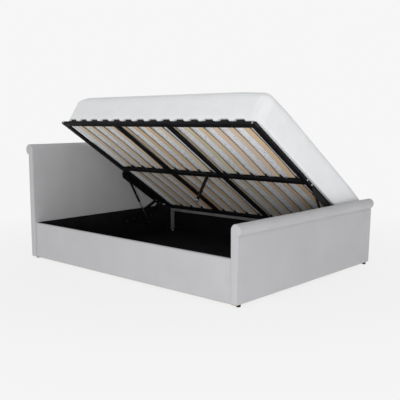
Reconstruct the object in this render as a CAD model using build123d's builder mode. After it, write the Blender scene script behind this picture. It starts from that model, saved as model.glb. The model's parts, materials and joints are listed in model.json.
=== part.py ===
"""Ottoman bed, king size, shown with its mattress platform lifted from one long side.

Millimetres, +Z up. X runs from the headboard (-X) to the footboard (+X), -Y is the side that
opens and +Y the side that stays low. The origin is on the floor, at the middle of the storage well.
Every piece is drawn in the open position. The closed position only serves to find the pivots.
"""
import os
from math import cos, radians, sin, sqrt

from build123d import *

# Overall sizes
well_length = 2010
board_width = 1600
board_floor_gap = 15
cover_thickness = 5
overrun = 2
running_clearance = 0.05
hole_clearance = 0.25
layer_gap = 0.3
closed_rest_gap = 1

# Headboard
headboard_height = 906
headboard_thickness = 53
headboard_roll_radius = 42
headboard_core_rise = 6

# Footboard
footboard_height = 499
footboard_base_thickness = 43
footboard_top_thickness = 54
footboard_roll_radius = 37
footboard_core_rise = 5

# Side rails
rail_inset = 12
rail_height = 287
rail_board = 18
rail_lining = 2
rail_cover_turn_in = 60
rail_edge_radius = 4

# Floor of the well
floor_top = 32
floor_panel = 6
batten_height = 11
batten_depth = 20
bearer_width = 60
bearer_height = 14
bearer_foot_radius = 20
floor_joint_x = -20
floor_joint_gap = 1
end_panel_thickness = 9
end_panel_rise = 3

# Glide feet under the boards
glide_radius = 14
glide_from_board_end = 44
glide_board_inset = 21

# Corner brackets and bolts
bracket_leg = 40
bracket_thickness = 3
bracket_height = 140
bracket_base_z = 90
bracket_bolt_rise = 30
bolt_radius = 4
bolt_head_radius = 7
bolt_head_height = 4
corner_bolt_length = 20

# Rear support bar
support_tube = 25
support_wall = 2
support_bar_end_gap = 11
support_bar_from_rail = 63
post_foot_radius = 14
post_foot_height = 16

# Platform frame
platform_end_gap = 33
platform_side_gap = 33
platform_drop = 33
frame_tube_width = 40
frame_tube_height = 20
frame_tube_wall = 1.5
cross_tube_width = 30
cross_tube_head_share = -0.352
cross_tube_foot_share = 0.204
plug_flange = 2
plug_depth = 12
frame_bolt_inset = 20
frame_bolt_radius = 4
frame_bolt_head_radius = 7
frame_bolt_head = 3
frame_bolt_length = 10
end_bolt_offset = 33

# Slats
slats_per_row = 14
slat_width = 53
slat_thickness = 8
slat_crown = 10
slat_end_flat = 22
slat_end_inset = 14
slat_centre_gap = 8
slat_base = 22
cap_wall = 3
cap_length = 30
cap_edge_inset = 6
cap_pocket_height = 8.6
cap_roof = 8

# Mattress
mattress_head_inset = 46
mattress_foot_overhang = 12
mattress_near_overhang = 4
mattress_far_overhang = 24
mattress_thickness = 219
mattress_corner_radius = 80
mattress_crown = 9
mattress_draw_in = 7

# Lift: opening angle and centre of the opening turn
opening_angle = 33.65
lift_centre_from_far_edge = 20
lift_centre_rise = 88

# Lift arms
front_pivot_from_far_edge = 190
rear_pivot_from_far_edge = 140
pivot_drop = 20
front_arm_length = 320
rear_arm_length = 150
arm_thickness = 4
arm_half_width = 14
arm_eye_radius = 16
pivot_pin_radius = 6
pivot_head_radius = 9
pivot_head_depth = 1.5
open_pivot_clearance = 3.2

# Hinge brackets on the end panels, as points (y, z) from the far bottom edge of the closed platform
hinge_plate_thickness = 4
hinge_plate_upper = [(-638, -84), (-638, -22), (-525, -14), (-290, -4), (-254, -22), (-254, -56)]
hinge_plate_lower = [(-305, -132), (-359, -132), (-430, -86)]
hinge_bolt_points = [(-611, -60), (-575, -65), (-417, -56), (-275, -64)]
hinge_bolt_radius = 3
hinge_bolt_head_radius = 7
hinge_bolt_head = 2.5
hinge_bolt_length = 12

# Top bars that carry the platform on the arms
top_bar_thickness = 4
top_bar_depth = 40
top_bar_width = 43
top_bar_start_from_far_edge = 688
top_bar_end_from_far_edge = 98
top_bar_ear_length = 114
top_bar_ear_depth = 46
top_bar_bevel = 14

# Gas struts
strut_base_point = (-332, -104)
strut_top_from_far_edge = 610
strut_top_drop = 22
strut_side_gap = 1
cylinder_radius = 9
cylinder_bottom_from_top = 258
cylinder_top_from_top = 22
cylinder_bore_top = 40
cylinder_collar_height = 8
cylinder_collar_radius = 8
rod_radius = 4
rod_base = 28
rod_tip = 245
strut_eye_radius = 10
strut_eye_width = 14
strut_neck_radius = 6
strut_stud_radius = 5
strut_clip_radius = 8
strut_clip = 1.5

# Support leg
leg_x = 50
leg_radius = 12.5
leg_foot_radius = 15
leg_foot_height = 8
leg_stem_radius = 5
leg_stem_show = 7
leg_stem_hidden = 30

# Sizes that follow from the ones above
well_half = well_length / 2
half_width = board_width / 2
rail_outer = half_width - rail_inset
rail_inner = rail_outer - cover_thickness - rail_board - rail_lining
panel_face = well_half - end_panel_thickness
end_panel_top = rail_height + end_panel_rise
bearer_foot_spacing = well_length / 4
support_bar_end_x = panel_face - support_bar_end_gap
support_bar_near_y = rail_inner - support_bar_from_rail
platform_half_length = well_half - platform_end_gap
platform_width = 2 * (rail_inner - platform_side_gap)
cross_tube_head_x = cross_tube_head_share * platform_half_length
cross_tube_foot_x = cross_tube_foot_share * platform_half_length
slat_pitch = 2 * platform_half_length / (slats_per_row + 1)
mattress_head_x = mattress_head_inset - platform_half_length
mattress_foot_x = platform_half_length + mattress_foot_overhang
mattress_near_s = -mattress_near_overhang
mattress_far_s = platform_width + mattress_far_overhang
closed_bottom_z = rail_height - platform_drop
closed_near = (-platform_width / 2, closed_bottom_z)
closed_far = (platform_width / 2, closed_bottom_z)
lift_centre = (closed_far[0] - lift_centre_from_far_edge, closed_far[1] + lift_centre_rise)
front_pivot_s = platform_width - front_pivot_from_far_edge
rear_pivot_s = platform_width - rear_pivot_from_far_edge
strut_top_s = platform_width - strut_top_from_far_edge
top_bar_start_s = platform_width - top_bar_start_from_far_edge
top_bar_end_s = platform_width - top_bar_end_from_far_edge
top_bar_ear_end_s = top_bar_start_s + top_bar_ear_length
opening = radians(opening_angle)
along = (0, cos(opening), -sin(opening))
upward = (0, sin(opening), cos(opening))
slat_pocket_inset = (slat_pitch * (slats_per_row - 1)) / 2
plate_inner = panel_face - hinge_plate_thickness
rear_arm_outer = plate_inner - layer_gap
rear_arm_inner = rear_arm_outer - arm_thickness
front_arm_outer = rear_arm_inner - layer_gap
front_arm_inner = front_arm_outer - arm_thickness
top_bar_outer = front_arm_inner - layer_gap
top_bar_face = top_bar_outer - top_bar_thickness
top_bar_inner_x = top_bar_outer - top_bar_width
strut_x = top_bar_face - strut_side_gap - cylinder_radius


def beside_far_edge(point):
    """A base point (y, z) given from the far bottom edge of the closed platform."""
    return (closed_far[0] + point[0], closed_far[1] + point[1])


hinge_plate_outline = [beside_far_edge(point) for point in hinge_plate_upper + hinge_plate_lower]
hinge_bolts = [beside_far_edge(point) for point in hinge_bolt_points]
strut_base = beside_far_edge(strut_base_point)


def turned(point, centre, degrees):
    """A point (y, z) turned about a centre, positive about +X."""
    turn = radians(degrees)
    y = point[0] - centre[0]
    z = point[1] - centre[1]
    return (centre[0] + y * cos(turn) - z * sin(turn), centre[1] + y * sin(turn) + z * cos(turn))


def closed_point(s, t):
    """Where a platform point lies with the bed closed: s from the near edge, t above the tubes' base."""
    return (closed_near[0] + s, closed_near[1] + t)


def open_point(s, t):
    """The same platform point with the bed open."""
    return turned(closed_point(s, t), lift_centre, -opening_angle)


def base_pivot(s, t, arm):
    """The point on the base that is one arm length from both positions of a platform point."""
    shut = closed_point(s, t)
    wide = open_point(s, t)
    dy = wide[0] - shut[0]
    dz = wide[1] - shut[1]
    gap = sqrt(dy * dy + dz * dz)
    rise = sqrt(arm * arm - gap * gap / 4)
    middle = ((shut[0] + wide[0]) / 2, (shut[1] + wide[1]) / 2)
    one = (middle[0] - dz / gap * rise, middle[1] + dy / gap * rise)
    other = (middle[0] + dz / gap * rise, middle[1] - dy / gap * rise)
    return min(one, other)


front_base = base_pivot(front_pivot_s, -pivot_drop, front_arm_length)
rear_base = base_pivot(rear_pivot_s, -pivot_drop, rear_arm_length)
front_top = open_point(front_pivot_s, -pivot_drop)
rear_top = open_point(rear_pivot_s, -pivot_drop)
strut_top = open_point(strut_top_s, -strut_top_drop)
strut_length = sqrt((strut_top[0] - strut_base[0]) ** 2 + (strut_top[1] - strut_base[1]) ** 2)
strut_direction = (
    0,
    (strut_top[0] - strut_base[0]) / strut_length,
    (strut_top[1] - strut_base[1]) / strut_length,
)


def platform_spot(x, s, t):
    """A platform point as a place in the room."""
    y, z = open_point(s, t)
    return (x, y, z)


def platform_level(t):
    """Plane parallel to the platform at height t. Its x is X and its y is s."""
    return Plane(origin=platform_spot(0, 0, t), x_dir=(1, 0, 0), z_dir=upward)


def platform_side(x):
    """Upright plane across X at x. Its x is s and its y is t."""
    return Plane(origin=platform_spot(x, 0, 0), x_dir=along, z_dir=(1, 0, 0))


def platform_front(s):
    """Plane across the platform's width at s. Its x is X and its y is t, and it faces the near side."""
    return Plane(origin=platform_spot(0, s, 0), x_dir=(1, 0, 0), z_dir=(0, -along[1], -along[2]))


def strut_plane(end):
    """Plane across a gas strut at its lower ball. Its z runs up the strut."""
    origin = (end * strut_x, strut_base[0], strut_base[1])
    return Plane(origin=origin, x_dir=(1, 0, 0), z_dir=strut_direction)


def side_plane(x):
    """Upright plane across X at x. Its x is Y and its y is Z."""
    return Plane.YZ.offset(x)


def keep(part, name):
    """Labels one piece and writes its file."""
    part.label = name
    export_step(part, "parts/" + name + ".step")


def across(size_x, size_y, size_z, low):
    """A box by its sizes and its low corner, inside the open part."""
    with Locations((low[0] + size_x / 2, low[1] + size_y / 2, low[2] + size_z / 2)):
        Box(size_x, size_y, size_z)


def cut_across(size_x, size_y, size_z, low):
    """The same box, taken away."""
    with Locations((low[0] + size_x / 2, low[1] + size_y / 2, low[2] + size_z / 2)):
        Box(size_x, size_y, size_z, mode=Mode.SUBTRACT)


def disc(plane, spots, radius, depth, mode=Mode.ADD):
    """Round pieces or holes that start on a plane and run along its normal."""
    with BuildSketch(plane) as rounds:
        with Locations(*spots):
            Circle(radius)
    extrude(rounds.sketch, amount=depth, mode=mode)


def headboard():
    """Board core, roll along the top and fabric cover."""
    front = -well_half
    back = front - headboard_thickness
    roll_z = headboard_height - headboard_roll_radius
    roll_x = front - headboard_roll_radius
    core_front = front - cover_thickness
    core_back = back + cover_thickness
    core_half = half_width - cover_thickness
    core_top = roll_z + headboard_core_rise
    core_roll = headboard_roll_radius - cover_thickness
    core_profile = [
        (core_front, board_floor_gap),
        (core_front, core_top),
        (core_back, core_top),
        (core_back, board_floor_gap),
    ]
    cover_profile = [
        (front, board_floor_gap),
        (front, roll_z),
        (back, roll_z),
        (back, board_floor_gap),
    ]
    board_pieces("headboard", -1, core_profile, cover_profile, (roll_x, roll_z), core_half, core_roll,
                 headboard_roll_radius)


def footboard():
    """Board core that thickens upwards, roll along the top and fabric cover."""
    inner = well_half
    roll_z = footboard_height - footboard_roll_radius
    roll_x = inner + footboard_roll_radius
    outer_base = inner + footboard_base_thickness
    outer_top = inner + footboard_top_thickness
    under_roll = roll_z - sqrt(footboard_roll_radius ** 2 - (outer_top - roll_x) ** 2)
    core_half = half_width - cover_thickness
    core_top = roll_z + footboard_core_rise
    core_roll = footboard_roll_radius - cover_thickness
    core_profile = [
        (inner + cover_thickness, board_floor_gap),
        (outer_base - cover_thickness, board_floor_gap),
        (outer_top - cover_thickness, under_roll),
        (outer_top - cover_thickness, core_top),
        (inner + cover_thickness, core_top),
    ]
    cover_profile = [
        (inner, board_floor_gap),
        (outer_base, board_floor_gap),
        (outer_top, under_roll),
        (roll_x, roll_z),
        (inner, roll_z),
    ]
    board_pieces("footboard", 1, core_profile, cover_profile, (roll_x, roll_z), core_half, core_roll,
                 footboard_roll_radius)


def board_pieces(name, end, core_profile, cover_profile, roll, core_half, core_roll, cover_roll):
    """The three pieces of one upholstered board, drawn as profiles (x, z) and run along Y."""
    core_plane = Plane.XZ.offset(-core_half)
    cover_plane = Plane.XZ.offset(-half_width)
    width = board_width
    core_width = 2 * core_half
    with BuildPart() as board_core:
        with BuildSketch(core_plane):
            Polygon(*core_profile, align=None)
        extrude(amount=core_width)
        panel_bolt_holes(end)
    with BuildPart() as board_roll:
        with BuildSketch(core_plane):
            with Locations(roll):
                Circle(core_roll)
            Polygon(*core_profile, align=None, mode=Mode.SUBTRACT)
        extrude(amount=core_width)
    with BuildPart() as board_cover:
        with BuildSketch(cover_plane):
            Polygon(*cover_profile, align=None)
            with Locations(roll):
                Circle(cover_roll)
        extrude(amount=width)
        with BuildSketch(core_plane):
            Polygon(*core_profile, align=None)
            with Locations(roll):
                Circle(core_roll)
        extrude(amount=core_width, mode=Mode.SUBTRACT)
        panel_bolt_holes(end)
    keep(board_core.part, name + "_core")
    keep(board_roll.part, name + "_roll")
    keep(board_cover.part, name + "_cover")


def corner_bolt_heights():
    """Heights of the two bolts in each leg of a corner bracket."""
    return (bracket_base_z + bracket_bolt_rise, bracket_base_z + bracket_height - bracket_bolt_rise)


def panel_bolt_spots():
    """Corner bolts into the boards, as (y, z)."""
    spots = []
    for side in (-1, 1):
        for z in corner_bolt_heights():
            spots.append((side * (rail_inner - bracket_leg / 2), z))
    return spots


def rail_bolt_spots():
    """Corner bolts into the rails, as (x, z)."""
    spots = []
    for end in (-1, 1):
        for z in corner_bolt_heights():
            spots.append((end * (panel_face - bracket_leg / 2), z))
    return spots


def panel_bolt_holes(end):
    """Holes for the corner bolts and hinge plate bolts, from the bracket's face into a board."""
    reach = corner_bolt_length + bolt_head_height
    face = side_plane(end * (panel_face - overrun))
    disc(face, panel_bolt_spots(), bolt_radius + hole_clearance, end * reach, Mode.SUBTRACT)
    depth = overrun + hinge_bolt_length
    disc(face, hinge_bolts, hinge_bolt_radius + hole_clearance, end * depth, Mode.SUBTRACT)


def rail_bolt_holes(side):
    """Holes for the corner bolts, from the bracket's face into a rail."""
    reach = corner_bolt_length + bolt_head_height
    face = Plane.XZ.offset(-side * (rail_inner - overrun))
    disc(face, rail_bolt_spots(), bolt_radius + hole_clearance, -side * reach, Mode.SUBTRACT)


def side_rail(name, side):
    """Board core, fabric cover turned in over the top, and black lining of one side rail."""
    core_outer = rail_outer - cover_thickness
    core_inner = core_outer - rail_board
    core_top = rail_height - cover_thickness
    turn_in_base = core_top - rail_cover_turn_in
    start = side_plane(-well_half)
    core_low = min(side * core_outer, side * core_inner)
    with BuildPart() as rail_core:
        across(well_length, rail_board, core_top - board_floor_gap, (-well_half, core_low, board_floor_gap))
        rail_bolt_holes(side)
    with BuildPart() as rail_cover:
        with BuildSketch(start):
            Polygon(
                (side * rail_outer, board_floor_gap),
                (side * rail_outer, rail_height),
                (side * rail_inner, rail_height),
                (side * rail_inner, turn_in_base),
                (side * core_inner, turn_in_base),
                (side * core_inner, core_top),
                (side * core_outer, core_top),
                (side * core_outer, board_floor_gap),
                align=None,
            )
        extrude(amount=well_length)
        top_edges = rail_cover.edges().filter_by(Axis.X).group_by(Axis.Z)[-1]
        fillet(top_edges, rail_edge_radius)
    lining_low = min(side * core_inner, side * rail_inner)
    lining_base = floor_top
    lining_length = 2 * panel_face
    with BuildPart() as lining:
        across(lining_length, rail_lining, turn_in_base - lining_base, (-panel_face, lining_low, lining_base))
        rail_bolt_holes(side)
    keep(rail_core.part, name + "_rail_core")
    keep(rail_cover.part, name + "_rail_cover")
    keep(lining.part, name + "_rail_lining")


def end_panels():
    """Black panels on the boards' inner faces, between the rails."""
    for name, end in (("head_end_panel", -1), ("foot_end_panel", 1)):
        low_x = min(end * panel_face, end * well_half)
        height = end_panel_top - board_floor_gap
        with BuildPart() as panel:
            across(end_panel_thickness, 2 * rail_inner, height, (low_x, -rail_inner, board_floor_gap))
            panel_bolt_holes(end)
        keep(panel.part, name)


def well_floor():
    """Two floor panels on battens and a centre bearer with feet."""
    panel_base = floor_top - floor_panel
    half_joint = floor_joint_gap / 2
    core_inner = rail_inner + rail_lining
    head_length = floor_joint_x - half_joint + panel_face
    foot_start = floor_joint_x + half_joint
    with BuildPart() as floor_head:
        across(head_length, 2 * core_inner, floor_panel, (-panel_face, -core_inner, panel_base))
    keep(floor_head.part, "floor_panel_head")
    with BuildPart() as floor_foot:
        across(panel_face - foot_start, 2 * core_inner, floor_panel, (foot_start, -core_inner, panel_base))
    keep(floor_foot.part, "floor_panel_foot")
    batten_base = panel_base - batten_height
    batten_inner = core_inner - batten_depth
    with BuildPart() as battens_long:
        across(2 * panel_face, batten_depth, batten_height, (-panel_face, -core_inner, batten_base))
        across(2 * panel_face, batten_depth, batten_height, (-panel_face, batten_inner, batten_base))
    keep(battens_long.part, "floor_battens_long")
    run = batten_inner - bearer_width / 2
    with BuildPart() as battens_cross:
        for low_x in (-panel_face, panel_face - batten_depth):
            for low_y in (-batten_inner, bearer_width / 2):
                across(batten_depth, run, batten_height, (low_x, low_y, batten_base))
    keep(battens_cross.part, "floor_battens_cross")
    bearer_base = panel_base - bearer_height
    with BuildPart() as bearer:
        across(2 * panel_face, bearer_width, bearer_height, (-panel_face, -bearer_width / 2, bearer_base))
    keep(bearer.part, "floor_centre_bearer")
    with BuildPart() as bearer_feet:
        spots = [(-bearer_foot_spacing, 0), (0, 0), (bearer_foot_spacing, 0)]
        disc(Plane.XY, spots, bearer_foot_radius, bearer_base)
    keep(bearer_feet.part, "floor_bearer_feet")


def glide_feet():
    """Four plain round glides under the corners of the boards."""
    spots = []
    for end in (-1, 1):
        for side in (-1, 1):
            x = end * (well_half + cover_thickness + glide_board_inset)
            spots.append((x, side * (half_width - glide_from_board_end)))
    with BuildPart() as glides:
        disc(Plane.XY, spots, glide_radius, board_floor_gap)
        chamfer(glides.faces().sort_by(Axis.Z)[:len(spots)].edges(), overrun)
    keep(glides.part, "glide_feet")


def corner_fasteners():
    """Steel angles in the four inner corners and the bolts through them."""
    leg_start = bracket_leg
    bolt_face = bracket_thickness
    with BuildPart() as angles:
        for end in (-1, 1):
            for side in (-1, 1):
                corner_x = end * panel_face
                corner_y = side * rail_inner
                far_x = end * (panel_face - leg_start)
                far_y = side * (rail_inner - leg_start)
                near_x = end * (panel_face - bolt_face)
                near_y = side * (rail_inner - bolt_face)
                with BuildSketch(Plane.XY.offset(bracket_base_z)):
                    Polygon(
                        (corner_x, corner_y),
                        (far_x, corner_y),
                        (far_x, near_y),
                        (near_x, near_y),
                        (near_x, far_y),
                        (corner_x, far_y),
                        align=None,
                    )
                extrude(amount=bracket_height)
        for end in (-1, 1):
            panel_bolt_holes_in_angles(end)
        for side in (-1, 1):
            face = Plane.XZ.offset(-side * (rail_inner - bracket_thickness - overrun))
            through = bracket_thickness + 2 * overrun
            disc(face, rail_bolt_spots(), bolt_radius + hole_clearance, -side * through, Mode.SUBTRACT)
    keep(angles.part, "corner_brackets")
    with BuildPart() as bolts:
        for end in (-1, 1):
            seat = end * (panel_face - bracket_thickness)
            disc(side_plane(seat), panel_bolt_spots(), bolt_radius, end * corner_bolt_length)
            disc(side_plane(seat), panel_bolt_spots(), bolt_head_radius, -end * bolt_head_height)
        for side in (-1, 1):
            seat = side * (rail_inner - bracket_thickness)
            plane = Plane.XZ.offset(-seat)
            disc(plane, rail_bolt_spots(), bolt_radius, -side * corner_bolt_length)
            disc(plane, rail_bolt_spots(), bolt_head_radius, side * bolt_head_height)
    keep(bolts.part, "corner_bolts")


def panel_bolt_holes_in_angles(end):
    """Holes through the bracket legs that lie on an end panel."""
    face = side_plane(end * (panel_face - bracket_thickness - overrun))
    through = bracket_thickness + 2 * overrun
    disc(face, panel_bolt_spots(), bolt_radius + hole_clearance, end * through, Mode.SUBTRACT)


def rear_support():
    """Square steel bar behind the platform, its corner posts and their bright feet."""
    top = closed_bottom_z - closed_rest_gap
    bar_base = top - support_tube
    length = 2 * support_bar_end_x
    hollow = support_tube - 2 * support_wall
    inner_y = support_bar_near_y + support_wall
    with BuildPart() as bar:
        across(length, support_tube, support_tube, (-support_bar_end_x, support_bar_near_y, bar_base))
        cut_across(
            length + 2 * overrun, hollow, hollow,
            (-support_bar_end_x - overrun, inner_y, bar_base + support_wall),
        )
    keep(bar.part, "rear_support_bar")
    post_base = floor_top + post_foot_height
    post_xs = (-support_bar_end_x, support_bar_end_x - support_tube)
    with BuildPart() as posts:
        for low_x in post_xs:
            across(support_tube, support_tube, bar_base - post_base, (low_x, support_bar_near_y, post_base))
    keep(posts.part, "rear_support_posts")
    with BuildPart() as feet:
        spots = [(x + support_tube / 2, support_bar_near_y + support_tube / 2) for x in post_xs]
        disc(Plane.XY.offset(floor_top), spots, post_foot_radius, post_foot_height)
    keep(feet.part, "rear_post_feet")


def hinge_plates():
    """Flat steel plates that carry the lift on the end panels, and their flush bolts."""
    pin_hole = pivot_pin_radius + running_clearance
    stud_hole = strut_stud_radius + running_clearance
    seat_radius = pivot_head_radius + hole_clearance
    for name, end in (("head_hinge_bracket", -1), ("foot_hinge_bracket", 1)):
        with BuildPart() as plate:
            with BuildSketch(side_plane(end * plate_inner)):
                Polygon(*hinge_plate_outline, align=None)
            extrude(amount=end * hinge_plate_thickness)
            upright = plate.edges().filter_by(Axis.X)
            fillet(upright, bolt_head_height)
            face = side_plane(end * (plate_inner - overrun))
            through = end * (hinge_plate_thickness + 2 * overrun)
            disc(face, [front_base, rear_base], pin_hole, through, Mode.SUBTRACT)
            disc(face, [strut_base], stud_hole, through, Mode.SUBTRACT)
            disc(face, hinge_bolts, hinge_bolt_radius + hole_clearance, through, Mode.SUBTRACT)
            recess = end * (overrun + hinge_bolt_head)
            disc(face, hinge_bolts, hinge_bolt_head_radius + hole_clearance, recess, Mode.SUBTRACT)
            back = side_plane(end * (panel_face - pivot_head_depth))
            seat = end * (pivot_head_depth + overrun)
            disc(back, [front_base, rear_base, strut_base], seat_radius, seat, Mode.SUBTRACT)
        keep(plate.part, name)
    with BuildPart() as bolts:
        for end in (-1, 1):
            seat = side_plane(end * (plate_inner + hinge_bolt_head))
            disc(seat, hinge_bolts, hinge_bolt_head_radius, -end * hinge_bolt_head)
            disc(seat, hinge_bolts, hinge_bolt_radius, end * (hinge_bolt_length - overrun))
    keep(bolts.part, "hinge_bracket_bolts")


def base_pins():
    """Pins and strut studs fixed in the hinge plates."""
    with BuildPart() as pins:
        for end in (-1, 1):
            flange = side_plane(end * panel_face)
            disc(flange, [front_base, rear_base, strut_base], pivot_head_radius, -end * pivot_head_depth)
            front_head = front_arm_inner + pivot_head_depth
            disc(flange, [front_base], pivot_pin_radius, -end * (panel_face - front_head))
            disc(side_plane(end * front_head), [front_base], pivot_head_radius, -end * pivot_head_depth)
            rear_head = rear_arm_inner + pivot_head_depth
            disc(flange, [rear_base], pivot_pin_radius, -end * (panel_face - rear_head))
            disc(side_plane(end * rear_head), [rear_base], pivot_head_radius, -end * pivot_head_depth)
            clip = strut_x - strut_eye_width / 2 - layer_gap
            disc(flange, [strut_base], strut_stud_radius, -end * (panel_face - clip))
            disc(side_plane(end * clip), [strut_base], strut_clip_radius, -end * strut_clip)
    keep(pins.part, "base_pivot_pins")


def link(end, inner, start, finish, start_radius, finish_radius):
    """One flat arm with round eyes, inside the open part."""
    length = sqrt((finish[0] - start[0]) ** 2 + (finish[1] - start[1]) ** 2)
    across_y = -(finish[1] - start[1]) / length * arm_half_width
    across_z = (finish[0] - start[0]) / length * arm_half_width
    with BuildSketch(side_plane(end * inner)) as outline:
        Polygon(
            (start[0] + across_y, start[1] + across_z),
            (start[0] - across_y, start[1] - across_z),
            (finish[0] - across_y, finish[1] - across_z),
            (finish[0] + across_y, finish[1] + across_z),
            align=None,
        )
        with Locations(start):
            Circle(start_radius)
        with Locations(finish):
            Circle(finish_radius)
    extrude(outline.sketch, amount=end * arm_thickness)


def arms():
    """Front and rear lift arms at both ends of the bed."""
    hole = pivot_pin_radius + running_clearance
    seat = pivot_head_radius + hole_clearance
    deep = pivot_head_depth + layer_gap
    through = arm_thickness + 2 * overrun
    for name, end in (("head", -1), ("foot", 1)):
        with BuildPart() as front_arm:
            link(end, front_arm_inner, front_base, front_top, arm_eye_radius, arm_eye_radius)
            below = side_plane(end * (front_arm_inner - overrun))
            disc(below, [front_base, front_top], hole, end * through, Mode.SUBTRACT)
            disc(below, [front_base], seat, end * (overrun + deep), Mode.SUBTRACT)
            outside = side_plane(end * (front_arm_outer + overrun))
            disc(outside, [front_top], seat, -end * (overrun + deep), Mode.SUBTRACT)
        keep(front_arm.part, name + "_front_arm")
        with BuildPart() as rear_arm:
            open_eye = arm_eye_radius + open_pivot_clearance
            link(end, rear_arm_inner, rear_base, rear_top, arm_eye_radius, open_eye)
            below = side_plane(end * (rear_arm_inner - overrun))
            disc(below, [rear_base], hole, end * through, Mode.SUBTRACT)
            disc(below, [rear_top], pivot_pin_radius + open_pivot_clearance, end * through, Mode.SUBTRACT)
            disc(below, [rear_base], seat, end * (overrun + deep), Mode.SUBTRACT)
        keep(rear_arm.part, name + "_rear_arm")


def top_pins():
    """Pins in the top bars: the front ones carry the arms, the rear ones stand in open eyes."""
    with BuildPart() as pins:
        for end in (-1, 1):
            flange = side_plane(end * top_bar_face)
            disc(flange, [front_top, rear_top], pivot_head_radius, end * pivot_head_depth)
            head = front_arm_outer - pivot_head_depth
            disc(flange, [front_top], pivot_pin_radius, end * (head - top_bar_face))
            disc(side_plane(end * head), [front_top], pivot_head_radius, end * pivot_head_depth)
            disc(flange, [rear_top], pivot_pin_radius, end * (rear_arm_outer - layer_gap - top_bar_face))
    keep(pins.part, "top_pivot_pins")


def top_bars():
    """Steel angles under the platform's end tubes, with an ear for the strut."""
    pin_hole = pivot_pin_radius + running_clearance
    seat = pivot_head_radius + hole_clearance
    for name, end in (("head_top_bar", -1), ("foot_top_bar", 1)):
        with BuildPart() as bar:
            with BuildSketch(platform_side(end * top_bar_face)):
                Polygon(
                    (top_bar_start_s, 0),
                    (top_bar_start_s, -top_bar_bevel),
                    (top_bar_start_s + 2 * top_bar_bevel, -top_bar_ear_depth),
                    (top_bar_ear_end_s, -top_bar_ear_depth),
                    (top_bar_ear_end_s + top_bar_bevel, -top_bar_depth),
                    (top_bar_end_s - top_bar_bevel, -top_bar_depth),
                    (top_bar_end_s, -top_bar_depth + top_bar_bevel),
                    (top_bar_end_s, 0),
                    align=None,
                )
            extrude(amount=end * top_bar_thickness)
            with BuildSketch(platform_side(end * top_bar_inner_x)):
                Polygon(
                    (top_bar_start_s, 0),
                    (top_bar_start_s, -top_bar_thickness),
                    (top_bar_end_s, -top_bar_thickness),
                    (top_bar_end_s, 0),
                    align=None,
                )
            extrude(amount=end * (top_bar_face - top_bar_inner_x + overrun))
            face = side_plane(end * (top_bar_face - overrun))
            through = end * (top_bar_thickness + 2 * overrun)
            disc(face, [front_top, rear_top], pin_hole, through, Mode.SUBTRACT)
            disc(face, [front_top, rear_top], seat, end * (overrun + pivot_head_depth), Mode.SUBTRACT)
        keep(bar.part, name)


def gas_struts():
    """Rods on the lower studs, and cylinders with their upper ends."""
    for name, end in (("head", -1), ("foot", 1)):
        plane = strut_plane(end)
        with BuildPart() as rod:
            disc(plane.offset(rod_base), [(0, 0)], rod_radius, rod_tip - rod_base)
        keep(rod.part, name + "_gas_rod")
        bottom = strut_length - cylinder_bottom_from_top
        top = strut_length - cylinder_top_from_top
        with BuildPart() as cylinder:
            collar_top = bottom + cylinder_collar_height
            disc(plane.offset(bottom), [(0, 0)], cylinder_collar_radius, cylinder_collar_height)
            disc(plane.offset(collar_top), [(0, 0)], cylinder_radius, top - collar_top)
            bore = strut_length - cylinder_bore_top - bottom + overrun
            bore_radius = rod_radius + running_clearance
            disc(plane.offset(bottom - overrun), [(0, 0)], bore_radius, bore, Mode.SUBTRACT)
        keep(cylinder.part, name + "_gas_cylinder")
    half_eye = strut_eye_width / 2
    with BuildPart() as lower_ends:
        for end in (-1, 1):
            plane = strut_plane(end)
            eye_start = side_plane(end * strut_x - half_eye)
            disc(eye_start, [strut_base], strut_eye_radius, strut_eye_width)
            disc(plane, [(0, 0)], strut_neck_radius, rod_base)
            hole_start = side_plane(end * strut_x - half_eye - overrun)
            through = strut_eye_width + 2 * overrun
            hole = strut_stud_radius + running_clearance
            disc(hole_start, [strut_base], hole, through, Mode.SUBTRACT)
    keep(lower_ends.part, "strut_lower_ends")
    with BuildPart() as upper_ends:
        for end in (-1, 1):
            plane = strut_plane(end)
            neck_base = strut_length - cylinder_top_from_top
            disc(plane.offset(neck_base), [(0, 0)], strut_neck_radius, cylinder_top_from_top)
            eye_start = side_plane(end * (strut_x - half_eye))
            disc(eye_start, [strut_top], strut_eye_radius, end * strut_eye_width)
            stud = top_bar_face - layer_gap - strut_x
            disc(side_plane(end * strut_x), [strut_top], strut_stud_radius, end * stud)
    keep(upper_ends.part, "strut_upper_ends")


def long_tube(name, s):
    """A tube of the frame along X, open at its ends."""
    length = 2 * platform_half_length
    with BuildPart() as tube:
        with BuildSketch(platform_side(-platform_half_length)):
            with Locations((s + frame_tube_width / 2, frame_tube_height / 2)):
                Rectangle(frame_tube_width, frame_tube_height)
                Rectangle(
                    frame_tube_width - 2 * frame_tube_wall,
                    frame_tube_height - 2 * frame_tube_wall,
                    mode=Mode.SUBTRACT,
                )
        extrude(amount=length)
        if s == 0:
            for x in (-1, 1):
                spot = (x * (platform_half_length - frame_bolt_inset), frame_tube_height / 2)
                hole = frame_bolt_radius + hole_clearance
                face = platform_front(-overrun)
                disc(face, [spot], hole, -(overrun + frame_tube_wall + overrun), Mode.SUBTRACT)
    keep(tube.part, name)


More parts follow.
